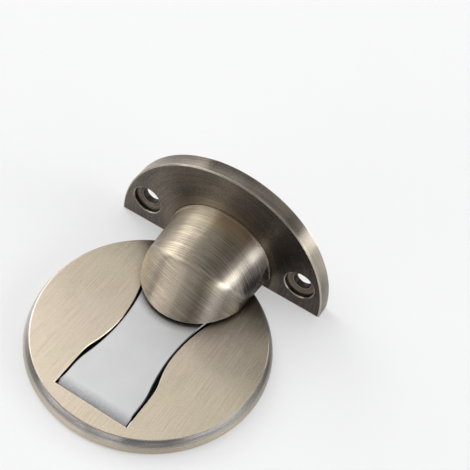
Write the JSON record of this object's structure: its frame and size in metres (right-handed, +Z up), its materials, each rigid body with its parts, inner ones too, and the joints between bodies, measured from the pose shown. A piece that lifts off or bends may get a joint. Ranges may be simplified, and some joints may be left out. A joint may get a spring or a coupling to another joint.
{
  "type": "magnetic door stop",
  "caption": "Floor plate with a pop-up steel flap, and a half-round door flange whose rounded boss holds the magnet that draws the flap up.",
  "frame": {"origin": "centre of the floor half, on the underside of its pad, at floor level", "axes": "+Z up from the floor, +Y from the floor half to the door flange, X along the flap's hinge"},
  "size_m": [0.0632, 0.0686, 0.0321],
  "materials": {
    "bronze": "brushed antique bronze",
    "stainless": "satin",
    "steel": "zinc plated",
    "pad": "matt foam",
    "magnet": "nickel plated"
  },
  "bodies": {
    "floor_half": {"floor_plate": "bronze", "base_plate": "steel", "adhesive_pad": "pad", "hinge_pin": "steel"},
    "flap": {"flap": "stainless"},
    "door_half": {"door_flange": "bronze", "magnet_boss": "bronze", "magnet": "magnet", "boss_screws": "steel"}
  },
  "joints": [
    {"name": "door_half_lift", "type": "slide", "parent": "floor_half", "child": "door_half", "axis": [0, 0, 1], "range_m": [0, 0.044]},
    {"name": "flap_hinge", "type": "hinge", "parent": "floor_half", "child": "flap", "pos_m": [0, -0.0231, 0.00245], "axis": [1, 0, 0], "range_deg": [0, 61]}
  ],
  "couplings": [
    {"joint": "flap_hinge", "follows": "door_half_lift", "rad_per_m": 24}
  ]
}
